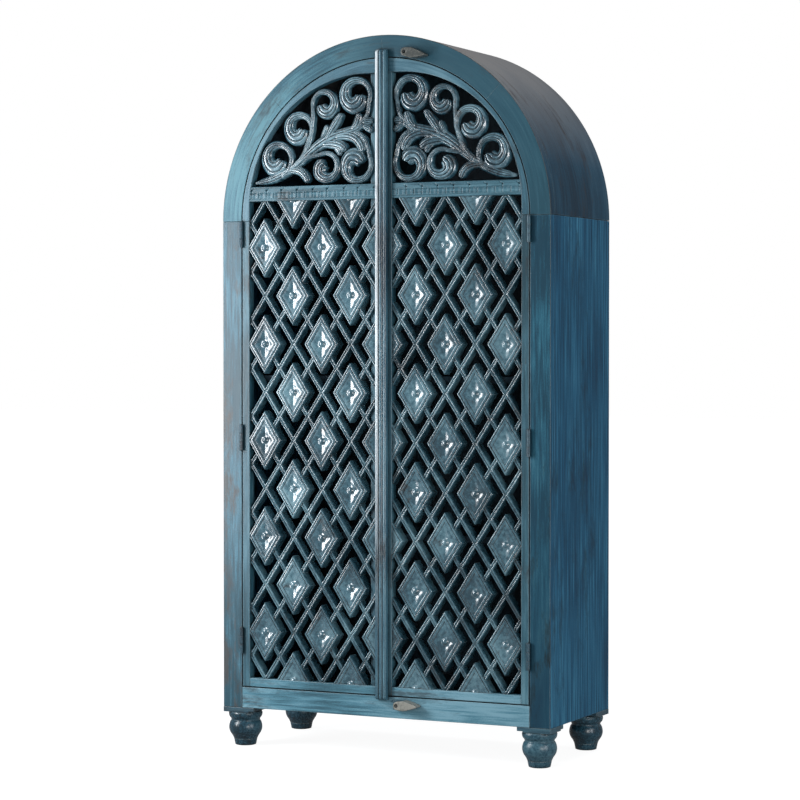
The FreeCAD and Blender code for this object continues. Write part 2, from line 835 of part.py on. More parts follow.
def turn_button(pivot, degrees):
    """Carved leaf shaped button, turned by degrees from pointing right."""
    neck_share, wide_share, taper_share, taper_width_share = 0.07, 0.33, 0.72, 0.56
    neck_half = button_head_reach + neck_share * button_reach / 2
    wide = wide_share * button_reach
    neck = neck_share * button_reach
    taper = taper_share * button_reach
    tip = button_reach - button_tip_half_width
    edges = [
        arc((neck, neck_half), (-button_head_reach, 0), (neck, -neck_half)),
        line((neck, -neck_half), (wide, -button_half_width)),
        arc(
            (wide, -button_half_width),
            (taper, -button_half_width * taper_width_share),
            (tip, -button_tip_half_width),
        ),
        arc((tip, -button_tip_half_width), (button_reach, 0), (tip, button_tip_half_width)),
        arc(
            (tip, button_tip_half_width),
            (taper, button_half_width * taper_width_share),
            (wide, button_half_width),
        ),
        line((wide, button_half_width), (neck, neck_half)),
    ]
    button = prism(edges, -front_stand, -button_tail_gap)
    relief_radius = math.hypot(button_block_width, button_block_height) / 2 + button_tail_gap
    relief_y = -button_block_thick - button_run_gap
    axis = Vector(0, 1, 0)
    relief = rod(relief_radius, Vector(0, relief_y, 0), front_stand, axis)
    hole_radius = button_screw_radius + button_screw_clearance
    hole = rod(hole_radius, Vector(0, -front_stand - overrun, 0), front_stand + 2 * overrun, axis)
    counterbore = rod(
        button_counterbore_radius,
        Vector(0, -front_stand - overrun, 0),
        overrun + button_counterbore_depth,
        axis,
    )
    button = button.cut([relief, hole, counterbore])
    button.rotate(Vector(0, 0, 0), axis, degrees)
    button.translate(Vector(pivot[0], 0, pivot[1]))
    return button


def build_buttons():
    """Spacer blocks, turn buttons and their screws."""
    pivots = button_pivots()
    turns = {"top": button_droop_deg, "bottom": 0}
    screws = []
    for key, pivot in pivots.items():
        block = slab(
            pivot[0] - button_block_width / 2,
            pivot[0] + button_block_width / 2,
            -button_block_thick,
            0,
            pivot[1] - button_block_height / 2,
            pivot[1] + button_block_height / 2,
        )
        add(key + "_button_block", block.cut(screw_hole(pivot, button_screw_radius)))
        add(key + "_turn_button", turn_button(pivot, turns[key]))
        screws.append(button_screw(pivot))
    add("button_screws", Part.Compound(screws))


build_face_frame()
build_boards()
build_feet()
build_frame_hinges()
build_door(1)
build_door(-1)
build_buttons()

os.makedirs("parts", exist_ok=True)
for node, shape in parts.items():
    moved = shape.copy()
    moved.translate(Vector(0, front_y, 0))
    moved.exportStep("parts/" + node + ".step")
    solids = len(moved.Solids)
    print(node, "solids", solids, "valid", moved.isValid(), "volume", round(moved.Volume))
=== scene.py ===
import math
import bmesh
import bpy
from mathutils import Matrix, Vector, noise


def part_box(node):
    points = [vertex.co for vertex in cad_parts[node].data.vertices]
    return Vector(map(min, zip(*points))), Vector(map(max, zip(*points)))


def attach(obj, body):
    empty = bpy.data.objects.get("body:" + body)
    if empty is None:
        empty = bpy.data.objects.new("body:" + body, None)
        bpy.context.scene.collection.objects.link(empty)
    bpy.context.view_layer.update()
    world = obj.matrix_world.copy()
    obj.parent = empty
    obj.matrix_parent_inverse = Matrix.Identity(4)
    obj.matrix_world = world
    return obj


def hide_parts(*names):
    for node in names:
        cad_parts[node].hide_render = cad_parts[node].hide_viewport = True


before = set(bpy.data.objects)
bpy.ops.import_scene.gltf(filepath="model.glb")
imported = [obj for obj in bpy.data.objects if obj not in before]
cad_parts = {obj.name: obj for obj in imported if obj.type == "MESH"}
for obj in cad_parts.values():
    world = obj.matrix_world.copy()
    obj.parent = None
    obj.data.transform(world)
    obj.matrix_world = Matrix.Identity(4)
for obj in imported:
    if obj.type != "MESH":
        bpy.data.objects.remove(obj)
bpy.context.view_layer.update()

# ---- Turned feet ----
# Four hardwood feet turned on a lathe: a flared base, a round bun and a collar under the plate.
# They carry the same blue paint as the case, thicker and glossier, with glaze and painted shade in the
# grooves.

# The front of the frame and the height where the arch starts, in millimetres.
face_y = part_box("frame_post_right")[0][1] * 1000
spring_z = 1482.0
both_sides = ((1, "right"), (-1, "left"))


def at(x, y, z):
    """A place in millimetres from the front of the frame, as metres in the frame."""
    return Vector((x / 1000, (y + face_y) / 1000, z / 1000))


def srgb(r, g, b):
    """A paint colour as it looks, 0 to 255, for a shader."""
    return [((v / 255 + 0.055) / 1.055) ** 2.4 for v in (r, g, b)] + [1.0]


def painted(name, dark, middle, light, grain="z", gloss=0.42, rubbed=0.5, glaze_and_shade_reach=0.012, bump=0.5,
            under=(40, 36, 34), streak_size=150.0, worn_and_highlit_edge=(150, 172, 178), edge_size=0.0035,
            contrast=0.7, streaky=0.32, squeeze=0.045, low_wear=0.0, sheen=0.5, fade=None):
    """Old oil paint over wood: brushed along the grain, with glaze and painted shade in the hollows, and
    edges rubbed pale, which also stands in for highlights on them.

    A fade is a second colour, with the axis, start and end of each stretch over which it takes over; the
    fades paint light and shade that change across a piece.
    """
    made = bpy.data.materials.new(name)
    made.use_nodes = True
    nodes, link = made.node_tree.nodes, made.node_tree.links.new
    skin = nodes["Principled BSDF"]

    def node(kind, **values):
        item = nodes.new("ShaderNode" + kind)
        for key, value in values.items():
            if key in item.inputs:
                item.inputs[key].default_value = value
            else:
                setattr(item, key, value)
        return item

    def math_node(operation, first, second=None, clamp=False):
        item = node("Math", operation=operation, use_clamp=clamp)
        for slot, value in enumerate((first, second)):
            if value is None:
                continue
            if isinstance(value, (int, float)):
                item.inputs[slot].default_value = value
            else:
                link(value, item.inputs[slot])
        return item.outputs[0]

    def blend_of(factor, first, second):
        colour_a, colour_b, colour_out = 6, 7, 2
        item = node("Mix", data_type="RGBA")
        link(factor, item.inputs[0])
        for slot, value in ((colour_a, first), (colour_b, second)):
            if isinstance(value, tuple):
                item.inputs[slot].default_value = srgb(*value)
            else:
                link(value, item.inputs[slot])
        return item.outputs[colour_out]

    place = node("TexCoord").outputs["Object"]
    if grain == "ring":
        parts = node("SeparateXYZ")
        link(place, parts.inputs[0])
        rise = math_node("SUBTRACT", parts.outputs["Z"], spring_z / 1000)
        turn = math_node("ARCTAN2", parts.outputs["X"], rise)
        reach = math_node("SQRT", math_node("ADD", math_node("POWER", parts.outputs["X"], 2.0),
                                            math_node("MULTIPLY", rise, rise)))
        joined = node("CombineXYZ")
        link(reach, joined.inputs["X"])
        link(parts.outputs["Y"], joined.inputs["Y"])
        link(math_node("MULTIPLY", turn, 0.45), joined.inputs["Z"])
        along = joined.outputs[0]
        stretch = (1, 1, squeeze)
    else:
        along = place
        stretch = [squeeze if axis == grain else 1 for axis in "xyz"]
    brushed = node("Mapping", Scale=stretch)
    link(along, brushed.inputs["Vector"])
    wide = node("Mapping", Scale=tuple(0.3 + 0.7 * s for s in stretch))
    link(along, wide.inputs["Vector"])

    def cloud(vector, scale, detail, rough=0.55):
        item = node("TexNoise", Scale=scale, Detail=detail, Roughness=rough)
        link(vector, item.inputs["Vector"])
        return item.outputs[0]

    streak = cloud(brushed.outputs[0], streak_size, 5.0, 0.6)
    patch = cloud(wide.outputs[0], 5.5, 4.0)
    speck = cloud(place, 420.0, 3.0)
    fine = math_node("ADD", math_node("MULTIPLY", streak, streaky), math_node("MULTIPLY", speck, 0.18))
    shade = math_node("ADD", math_node("MULTIPLY", patch, 0.82 - streaky), fine)
    ramp = node("ValToRGB")
    link(shade, ramp.inputs[0])
    stops = ramp.color_ramp.elements
    stops[0].position, stops[0].color = 0.5 - 0.11 * contrast, srgb(*dark)
    stops[1].position, stops[1].color = 0.5 + 0.13 * contrast, srgb(*light)
    middle_stop = stops.new(0.5)
    middle_stop.color = srgb(*middle)
    colour = ramp.outputs[0]
    if fade:
        other, *spans = fade
        parts = node("SeparateXYZ")
        link(place, parts.inputs[0])
        amount = math_node("ADD", math_node("MULTIPLY", patch, 1.3), 0.15)
        for axis, start, end in spans:
            share = node("MapRange", **{"From Min": start, "From Max": end})
            link(parts.outputs[axis], share.inputs["Value"])
            amount = math_node("MULTIPLY", amount, share.outputs[0], True)
        colour = blend_of(amount, colour, other)

    corner = node("Bevel", samples=4, Radius=edge_size)
    true_face = node("NewGeometry")
    facing = node("VectorMath", operation="DOT_PRODUCT")
    link(corner.outputs[0], facing.inputs[0])
    link(true_face.outputs["Normal"], facing.inputs[1])
    # Painted highlight and wear: near every edge the paint turns to the pale edge colour, for rubbed
    # paint and for highlights.
    edge = math_node("MULTIPLY", math_node("SUBTRACT", 1.0, facing.outputs["Value"]), 8.0, True)
    worn = math_node("MULTIPLY", edge, math_node("MULTIPLY", streak, rubbed * 1.6, True), True)
    colour = blend_of(worn, colour, worn_and_highlit_edge)
    bare = node("MapRange", **{"From Min": 0.575, "From Max": 0.66})
    bitten = math_node("ADD", math_node("MULTIPLY", cloud(wide.outputs[0], 9.0, 6.0, 0.75), 0.75),
                       math_node("MULTIPLY", streak, 0.30))
    if low_wear:
        height = node("SeparateXYZ")
        link(place, height.inputs[0])
        low = node("MapRange", **{"From Min": 1.3, "From Max": 0.15, "To Max": low_wear})
        link(height.outputs["Z"], low.inputs["Value"])
        bitten = math_node("ADD", bitten, low.outputs[0])
    link(math_node("ADD", bitten, math_node("MULTIPLY", edge, 0.05)), bare.inputs["Value"])
    colour = blend_of(math_node("MULTIPLY", bare.outputs[0], rubbed * 1.35, True), colour, under)
    # Painted shade: where the hollows are occluded the colour sinks towards a third of the dark paint, as
    # glaze and shade together.
    hollow = node("AmbientOcclusion", samples=4, Distance=glaze_and_shade_reach)
    dim = node("MapRange", **{"From Min": 0.25, "From Max": 0.85})
    link(hollow.outputs["AO"], dim.inputs["Value"])
    colour = blend_of(dim.outputs[0], tuple(round(v * 0.3) for v in dark), colour)
    link(colour, skin.inputs["Base Color"])

    rough = node("MapRange", **{"From Min": 0.3, "From Max": 0.7,
                                "To Min": gloss - 0.08, "To Max": gloss + 0.12})
    link(shade, rough.inputs["Value"])
    link(rough.outputs[0], skin.inputs["Roughness"])
    skin.inputs["Specular IOR Level"].default_value = sheen
    relief = node("Bump", Strength=bump, Distance=0.0007)
    link(math_node("ADD", streak, math_node("MULTIPLY", speck, 0.35)), relief.inputs["Height"])
    link(corner.outputs[0], relief.inputs["Normal"])
    link(relief.outputs[0], skin.inputs["Normal"])
    return made


def place_piece(bm, name, material, slot, body, *nodes, sharp=32):
    """Turns a mesh in work into a piece that rides on its body and stands for its CAD nodes."""
    bmesh.ops.remove_doubles(bm, verts=bm.verts, dist=0.00001)
    bmesh.ops.recalc_face_normals(bm, faces=bm.faces)
    mesh = bpy.data.meshes.new(name)
    bm.to_mesh(mesh)
    bm.free()
    mesh.polygons.foreach_set("use_smooth", [True] * len(mesh.polygons))
    mesh.set_sharp_from_angle(angle=math.radians(sharp))
    mesh.materials.append(material)
    piece = bpy.data.objects.new(name, mesh)
    bpy.context.scene.collection.objects.link(piece)
    piece.modifiers.new("even shading", "WEIGHTED_NORMAL").keep_sharp = True
    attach(piece, body)
    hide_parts(*nodes)
    return piece


def skin_rows(bm, rows, closed=False, caps=False):
    """Faces between neighbouring rows of places; closed rows run round, caps fill the first and last."""
    made = [[bm.verts.new(p) for p in row] for row in rows]
    count = len(made[0])
    for low, high in zip(made, made[1:]):
        for i in range(count if closed else count - 1):
            j = (i + 1) % count
            bm.faces.new((low[i], low[j], high[j], high[i]))
    if caps:
        bm.faces.new(made[0])
        bm.faces.new(made[-1])


def smooth_line(points, step):
    """Even places along a smooth curve through the points, and the length of the curve."""
    dense = []
    last = len(points) - 1
    for i in range(last):
        p0, p1, p2, p3 = (Vector(points[min(max(i + k, 0), last)]) for k in (-1, 0, 1, 2))
        for k in range(24):
            t = k / 24
            dense.append(0.5 * (2 * p1 + (p2 - p0) * t + (2 * p0 - 5 * p1 + 4 * p2 - p3) * t * t
                                + (3 * p1 - p0 - 3 * p2 + p3) * t ** 3))
    dense.append(Vector(points[-1]))
    reach = [0.0]
    for a, b in zip(dense, dense[1:]):
        reach.append(reach[-1] + (b - a).length)
    count = max(2, round(reach[-1] / step))
    even = []
    k = 0
    for i in range(count + 1):
        goal = reach[-1] * i / count
        while k < len(reach) - 2 and reach[k + 1] < goal:
            k += 1
        share = (goal - reach[k]) / max(reach[k + 1] - reach[k], 1e-9)
        even.append(dense[k].lerp(dense[k + 1], share))
    return even, reach[-1]


foot_paint = painted("foot paint", (20, 42, 52), (36, 74, 90), (74, 112, 126), grain="none", gloss=0.26,
                     rubbed=0.45, glaze_and_shade_reach=0.01, bump=0.35)
foot_x = 452
flare = [(0, 0), (26, 0), (29.4, 1.2), (30, 3.2), (30.6, 6), (32.8, 16.4), (33.2, 17.6), (32.4, 18.6)]
bun, _ = smooth_line([(33.5, 19), (37.5, 27), (43.4, 36), (46.6, 45), (47.0, 54), (45.4, 62),
                      (43.2, 67.5)], 2.0)
neck = [(42.2, 68.8), (41.0, 69.6), (40.4, 70.8)]
collar, _ = smooth_line([(40.6, 72), (41.6, 76), (45.2, 80), (47.2, 85), (47.9, 90), (47.6, 92.5)], 1.5)
spigot = [(46.4, 93.4), (46.4, 95.9), (10, 95.9), (10, 147.5), (0, 147.5)]
outline = flare + [tuple(p) for p in bun] + neck + [tuple(p) for p in collar] + spigot
for end, foot_y in (("front", 42.0), ("back", 379.0)):
    for side, side_name in both_sides:
        bm = bmesh.new()
        rows = []
        for r, z in outline:
            ring = []
            for k in range(64):
                turn = math.tau * k / 64
                out = Vector((math.cos(turn), math.sin(turn), z * 0.03 + side))
                wobble = 0.006 * noise.noise(out * 1.7 + Vector((foot_y, 0, 0))) if r > 12 else 0
                wave = min(1 + wobble, 1.0)
                ring.append(at(side * foot_x + r * wave * out.x, foot_y + r * wave * out.y, z))
            rows.append(ring)
        skin_rows(bm, rows, closed=True)
        place_piece(bm, "turned_foot_%s_%s" % (end, side_name), foot_paint, "turned_wood", "carcase",
                    "foot_%s_%s" % (end, side_name), sharp=50)

# ---- Foot plates and corner blocks ----
# Square stepped plates sit between each foot and the case; the foot's spigot passes through them
# into a softwood block glued in the corner. The plates are painted, the blocks left brown.


def dress(material, *nodes):
    """Gives CAD solids that stay their finish."""
    for name in nodes:
        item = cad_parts[name]
        if not item.material_slots:
            item.data.materials.append(material)
        for slot in item.material_slots:
            slot.material = material


plate_paint = painted("plate paint", (20, 40, 50), (32, 66, 82), (62, 98, 112), grain="x", gloss=0.34)
block_stain = painted("block stain", (30, 24, 20), (50, 40, 32), (74, 60, 48), grain="z", gloss=0.6,
                      rubbed=0.2, worn_and_highlit_edge=(90, 76, 62))
for end in ("front", "back"):
    for side_name in ("left", "right"):
        dress(plate_paint, "foot_plate_%s_%s" % (end, side_name))
        dress(block_stain, "corner_block_%s_%s" % (end, side_name))

# ---- Side panels, roof board, back and shelves ----
# Wide softwood panels with upright grain, and a board bent over the arch from spring to spring.
# They are brushed a deeper blue than the front; the back, the floor and the shelves are stained dark.


def hewn(outline, step=45.0, wave=0.3):
    """An outline with its long edges broken up and eased inwards a little, as a plane leaves them."""
    fine = []
    for i, p in enumerate(outline):
        q = outline[(i + 1) % len(outline)]
        count = max(1, int(math.dist(p, q) / step))
        for k in range(count):
            fine.append((p[0] + (q[0] - p[0]) * k / count, p[1] + (q[1] - p[1]) * k / count))
    area = sum(a[0] * b[1] - b[0] * a[1] for a, b in zip(fine, fine[1:] + fine[:1]))
    turn = 1 if area > 0 else -1
    eased = []
    for i, p in enumerate(fine):
        a, b = Vector(fine[i - 1]), Vector(fine[(i + 1) % len(fine)])
        run = (b - a).normalized()
        inward = Vector((-run.y, run.x)) * turn
        shift = wave * (0.5 + 0.5 * noise.noise(Vector((p[0] * 0.013, p[1] * 0.013, 3.1))))
        eased.append((p[0] + inward.x * shift, p[1] + inward.y * shift))
    return eased


def plank(side, inner, outer, low, high):
    """Outline of a straight board on one side of the middle, from its inner to its outer edge."""
    return [(side * inner, low), (side * outer, low), (side * outer, high), (side * inner, high)]


def board(outline, front, back, ease=1.4, butt=None):
    """A flat board of this outline, seen from the front, its edges eased but for those that butt says."""
    bm = bmesh.new()
    face = bm.faces.new([bm.verts.new(at(x, front, z)) for x, z in outline])
    moved = bmesh.ops.extrude_face_region(bm, geom=[face])
    for item in moved["geom"]:
        if isinstance(item, bmesh.types.BMVert):
            item.co.y += (back - front) / 1000
    bmesh.ops.recalc_face_normals(bm, faces=bm.faces)
    crisp = [e for e in bm.edges if e.calc_face_angle(0) > math.radians(30)
             and not (butt and all(butt(v.co) for v in e.verts))]
    bmesh.ops.bevel(bm, geom=crisp, offset=ease / 1000, segments=3, profile=0.55, affect="EDGES",
                    clamp_overlap=True)
    return bm


def ring_outline(inner, outer, start, end, steps=30):
    """Outline of a piece of a ring about the middle of the arch, angles from the right."""
    angles = [math.radians(start + (end - start) * k / steps) for k in range(steps + 1)]
    outer_line = [(outer * math.cos(a), spring_z + outer * math.sin(a)) for a in angles]
    inner_line = [(inner * math.cos(a), spring_z + inner * math.sin(a)) for a in reversed(angles)]
    return outer_line + inner_line


side_paint = painted("side paint", (16, 58, 84), (34, 92, 124), (70, 134, 164), grain="z", gloss=0.55,
                     rubbed=0.5, bump=0.6, streak_size=190.0, under=(22, 34, 42),
                     worn_and_highlit_edge=(110, 144, 160), streaky=0.56, squeeze=0.016, low_wear=0.02, sheen=0.2)
# Painted shade and sheen: the roof board is a darker blue than the sides and turns pale grey towards the
# top.
roof_paint = painted("roof paint", (20, 48, 66), (34, 72, 94), (66, 96, 114), grain="ring", gloss=0.46,
                     rubbed=0.6, bump=0.6, streak_size=120.0, under=(48, 40, 38), sheen=0.15,
                     fade=((132, 128, 126), ("Z", 1.62, 1.95)))
case_half, case_low, case_back = 500, 110, 430
board_inner, board_front = 482, 28.2
for side, side_name in both_sides:
    panel = hewn(plank(side, board_inner, case_half, case_low, 1481.6))
    place_piece(board(panel, board_front, case_back, 1.0), "side_board_" + side_name, side_paint,
                "side_wood", "carcase", "side_panel_" + side_name)
bent = ring_outline(board_inner, case_half, 0.04, 179.96, 120)
place_piece(board(bent, board_front, case_back, 1.0), "bent_roof_board", roof_paint,
            "side_wood", "carcase", "roof_board")
inside_stain = painted("inside stain", (18, 36, 48), (26, 50, 64), (38, 66, 80), grain="x", gloss=0.6,
                       rubbed=0.1, worn_and_highlit_edge=(50, 56, 58))
back_stain = painted("back stain", (18, 36, 48), (28, 52, 66), (42, 70, 84), grain="z", gloss=0.6,
                     rubbed=0.15, worn_and_highlit_edge=(50, 56, 58))
dress(inside_stain, "floor_board", "shelf_1", "shelf_2", "shelf_3")
dress(back_stain, "back_panel")

# ---- Face frame ----
# Two hardwood posts, a bottom rail tenoned between them, and an arch sawn in four pieces with loose
# tongues in the joints. Brushed pale blue over teal, rubbed through to brown wood in places.

frame_paint = painted("frame paint", (36, 74, 88), (60, 112, 132), (104, 152, 168), grain="z", gloss=0.4,
                      rubbed=0.62, contrast=0.55, low_wear=0.06, under=(66, 60, 56))
# Painted shade: the right post takes a darker copy of the frame paint, darkening further towards the
# bottom.
shaded_post_paint = painted("shaded frame paint", (24, 64, 82), (40, 100, 122), (78, 138, 156), grain="z",
                          gloss=0.4, rubbed=0.7, contrast=0.55, low_wear=0.05, under=(20, 38, 44),
                          sheen=0.3, fade=((16, 56, 76), ("Z", 1.3, 0.2)))
# Painted shade: the arch turns a darker teal from left of the middle, fully over its right half.
arch_paint = painted("arch paint", (32, 70, 84), (54, 104, 122), (92, 142, 156), grain="ring", gloss=0.4,
                     rubbed=0.6, edge_size=0.0018, contrast=0.5, under=(46, 64, 72), sheen=0.35,
                     fade=((34, 78, 94), ("X", -0.25, 0.0)))
# Painted light: the rails take a paler copy of the frame paint, standing in for light falling on them.
rail_paint = painted("rail paint", (46, 86, 100), (78, 130, 148), (122, 166, 182), grain="x", gloss=0.4,
                     rubbed=0.6, contrast=0.55, under=(46, 64, 72))
rubbed_line = painted("rubbed corner", (34, 34, 34), (58, 56, 54), (90, 88, 86), grain="none", gloss=0.5,
                      rubbed=0.3)


def paint_outer_edge(piece, behind, centre=None):
    """Paints the outer edge like the board behind it, with a line rubbed bare along the front corner."""
    piece.data.materials.append(behind)
    piece.data.materials.append(rubbed_line)
    for face in piece.data.polygons:
        out = face.center - centre if centre else Vector((face.center.x, 0, 0))
        lean = face.normal.dot(out.normalized())
        if lean > 0.9:
            face.material_index = 1
        elif lean > 0.2 and face.normal.y < -0.2:
            face.material_index = 2


frame_inner, frame_back = 440, 28
for side, side_name in both_sides:
    post = hewn(plank(side, frame_inner, case_half, case_low, 1481.7))
    post_paint = shaded_post_paint if side > 0 else frame_paint
    piece = place_piece(board(post, 0, frame_back), "post_" + side_name, post_paint,
                        "frame_wood", "carcase", "frame_post_" + side_name)
    paint_outer_edge(piece, side_paint)
sawn_angle = 45
for k in range(4):
    sawn = ring_outline(frame_inner, case_half, sawn_angle * k + 0.01, sawn_angle * k + 44.99)

    def butt(place):
        turn = math.degrees(math.atan2(place.z - spring_z / 1000, place.x)) / sawn_angle - k
        return min(abs(turn), abs(turn - 1)) < 0.005

    piece = place_piece(board(sawn, 0, frame_back, butt=butt), "arch_piece_%d" % (k + 1), arch_paint,
                        "frame_wood", "carcase", "frame_arch_%d" % (k + 1))
    paint_outer_edge(piece, roof_paint, at(0, frame_back / 2, spring_z))
low_board = hewn(plank(1, -frame_inner, frame_inner, case_low, 169))
place_piece(board(low_board, 0, frame_back), "bottom_rail", rail_paint,
            "frame_wood", "carcase", "frame_bottom_rail")
dress(block_stain, "arch_splines")

# ---- Hinges ----
# Three iron butt hinges on each side, let into the door and the post and painted over with the case.
# Only the knuckles and the heads of the pins stand proud; each leaf holds three countersunk screws.

hinge_paint = painted("painted iron", (20, 42, 52), (36, 74, 90), (66, 106, 122), grain="none",
                      gloss=0.34, rubbed=0.5, under=(60, 58, 56), worn_and_highlit_edge=(120, 128, 130))
screw_steel = painted("dark screw steel", (40, 40, 40), (66, 66, 64), (96, 94, 90), grain="none",
                      gloss=0.3, rubbed=0.3, under=(50, 34, 26))
screw_steel.node_tree.nodes["Principled BSDF"].inputs["Metallic"].default_value = 0.9
for side_name in ("left", "right"):
    dress(hinge_paint, "frame_hinge_leaves_" + side_name, "hinge_pins_" + side_name,
          side_name + "_door_hinge_leaves")
    dress(screw_steel, "frame_hinge_screws_" + side_name, side_name + "_door_hinge_screws")
dress(screw_steel, "button_screws")

# ---- Door stiles and rails ----
# Each door is framed by a narrow hinge stile, a low bottom rail and a rail sawn to the arch.
# The right door has a wide meeting stile; the left one a thin lapped strip behind it.

door_paint = painted("door paint", (34, 68, 80), (58, 102, 118), (96, 138, 152), grain="z", gloss=0.38,
                     rubbed=0.6)
door_arch_paint = painted("door arch paint", (36, 70, 84), (60, 106, 124), (98, 140, 156), grain="ring",
                          gloss=0.38, rubbed=0.55)
door_low, door_edge, door_back = 171.5, 437.5, 27.5
rail_high, crown_low = 195.5, 1880
stile_inner, meeting_inner, lap_inner, lap_front = 415, 30, 16.5, 13.4
# The arched opening of a door is a quarter circle, drawn from a middle of its own.
opening_x, opening_z, opening_reach = 50, 1515, 365
for side, side_name in both_sides:
    body = side_name + "_door"
    edge = -14.0 if side > 0 else lap_inner
    stile = hewn(plank(side, stile_inner, door_edge, door_low, 1481.8), wave=0.25)
    place_piece(board(stile, 0, door_back, 1.2), body + "_stile", door_paint, "door_wood", body,
                body + "_hinge_stile")
    outer = [(door_edge * math.cos(a), spring_z + door_edge * math.sin(a))
             for a in (math.radians(90 * k / 60) for k in range(60))]
    outer = [p for p in outer if p[0] > max(edge, 0) + 4]
    if edge < 0:
        outer += [(door_edge * math.sin(-a), spring_z + door_edge * math.cos(a))
                  for a in (-0.005, 0.0, 0.012)]
    outer.append((edge, spring_z + door_edge * math.cos(math.asin(edge / door_edge))))
    inner = [(edge, crown_low), (opening_x, crown_low)]
    inner += [(opening_x + opening_reach * math.sin(a), opening_z + opening_reach * math.cos(a))
              for a in (math.radians(90 * k / 48) for k in range(1, 49))]
    inner.append((stile_inner, spring_z))
    arched = [(side * x, z) for x, z in outer + inner]
    place_piece(board(arched, 0, door_back, 1.2), body + "_arch", door_arch_paint, "door_wood", body,
                body + "_arched_rail")
    rail_inner = meeting_inner if side > 0 else lap_inner
    low_rail = hewn(plank(side, rail_inner, stile_inner, door_low, rail_high), wave=0.2)
    bm = board(low_rail, 0, door_back if side > 0 else lap_front, 1.2)
    if side < 0:
        tail = board(plank(side, 41, stile_inner, 171.7, 195.3), lap_front, door_back, 0.6)
        extra = bpy.data.meshes.new("tail")
        tail.to_mesh(extra)
        tail.free()
        bm.from_mesh(extra)
        bpy.data.meshes.remove(extra)
    place_piece(bm, body + "_low_rail", rail_paint, "door_wood", body, body + "_bottom_rail")
    if side > 0:
        meeting = hewn(plank(1, edge, meeting_inner, door_low, crown_low), wave=0.2)
        place_piece(board(meeting, 0, door_back, 1.2), "meeting_stile_right", door_paint, "door_wood",
                    body, body + "_meeting_stile")
    else:
        lap = hewn(plank(1, -40.5, -lap_inner, door_low, crown_low), wave=0.2)
        place_piece(board(lap, 13.5, door_back, 1.0), "lapped_strip_left", door_paint, "door_wood",
                    body, body + "_meeting_stile")

# ---- Carved transom ----
# A flat bar across each door at the foot of the arch, cut with a row of brick shaped blocks between
# two fine lines, and pricked with a gouge above every second block.

transom_paint = painted("transom paint", (34, 70, 82), (62, 108, 124), (102, 146, 160), grain="x",
                        gloss=0.38, rubbed=0.6, glaze_and_shade_reach=0.003, edge_size=0.001)
transom_low, transom_back, thin_back, block_pair = 1536, 27.4, 13.3, 48.0


def cut(where, width):
    """How deep a cut is at a distance from its middle, as a share of its depth."""
    return math.exp(-(where / width) ** 2)


def transom_depth(side, x, z):
    """Depth of the carving below the face, in millimetres, at a place on the bar."""
    depth = 0.0
    if z < 1.6:
        depth += 1.2 * (1 - z / 1.6) ** 2
    if z > 39.4:
        depth += 1.2 * ((z - 39.4) / 1.6) ** 2
    depth += 1.1 * cut(z - 7.5, 0.8) + 0.6 * cut(z - 37.2, 0.7)
    unit = (x + 5 * noise.noise(Vector((x * 0.02, 0, side)))) % block_pair
    from_middle = unit - block_pair / 2
    if 9 < z < 23.5:
        for joint in (0, 24, 48):
            depth += 1.5 * cut(unit - joint, 0.9)
        depth += 0.5 * cut(abs(from_middle) - 12, 4.0)
    depth += 1.3 * cut(z - 23.0, 0.9) * (0.4 + 0.6 * (abs(from_middle) < 19))
    if 23 < z < 31:
        depth += 1.2 * cut(from_middle, 0.9)
    depth += 3.4 * math.exp(-(math.hypot(from_middle, z - 31.0) / 2.1) ** 4)
    if 29 < z < 37 and 15 < unit < 26:
        depth += 1.5 * cut(from_middle * 0.5 + (z - 31.0) * 0.86, 1.0)
    return depth


heights = [0.0, 0.8, 1.6] + [1.6 + 0.95 * k for k in range(1, 40)] + [39.4, 40.2, 41.0]
places_across = 330
for side, side_name in both_sides:
    body = side_name + "_door"
    start = 30.2 if side > 0 else 16.7
    rows = []
    for h in heights:
        z = transom_low + h
        end = opening_x + math.sqrt(opening_reach ** 2 - (z - opening_z) ** 2) - 0.2
        row = [at(side * start, transom_back, z)]
        for k in range(places_across + 1):
            x = start + (end - start) * k / places_across
            row.append(at(side * x, 0.3 + transom_depth(side, x, h), z))
        row.append(at(side * end, transom_back, z))
        rows.append(row)
    bm = bmesh.new()
    skin_rows(bm, rows, closed=True, caps=True)
    # The left bar is thinner at its inner end, where the lapped strip stands behind it.
    if side < 0:
        for v in bm.verts:
            if v.co.y > at(0, 20, 0).y and v.co.x > -0.0405:
                v.co.y = at(0, thin_back, 0).y
    place_piece(bm, body + "_carved_transom", transom_paint, "carved_wood", body, body + "_transom",
                sharp=60)

# ---- Diamond lattice ----
# One pierced panel in each door: crossing bars, each with a groove between two beads, and on every other
# crossing a raised diamond with two flat bands, four petals cut in two facets and a round knob.

lattice_paint = painted("lattice paint", (32, 62, 74), (60, 98, 112), (102, 140, 152), grain="none",
                        gloss=0.26, rubbed=0.75, glaze_and_shade_reach=0.005, bump=0.4, streak_size=90.0,
                        edge_size=0.0014, under=(38, 52, 58), worn_and_highlit_edge=(180, 200, 206))
lattice_coat = lattice_paint.node_tree.nodes["Principled BSDF"].inputs
lattice_coat["Coat Weight"].default_value = 1.0
lattice_coat["Coat Roughness"].default_value = 0.17
lattice_coat["Coat IOR"].default_value = 1.6
carving_back = painted("back of carving", (22, 46, 56), (38, 72, 86), (66, 102, 114), grain="z",
                       gloss=0.6, rubbed=0.4, sheen=0.2)
half_w, half_h = 44.7, 67.4
cell_reach = half_w * half_h / math.hypot(half_w, half_h)
boss_w, boss_h = 53.0, 83.0
boss_reach = boss_w * boss_h / math.hypot(boss_w, boss_h)
lattice_top, panel_low, panel_high, panel_back = 1541, 195.7, 1535.8, 36
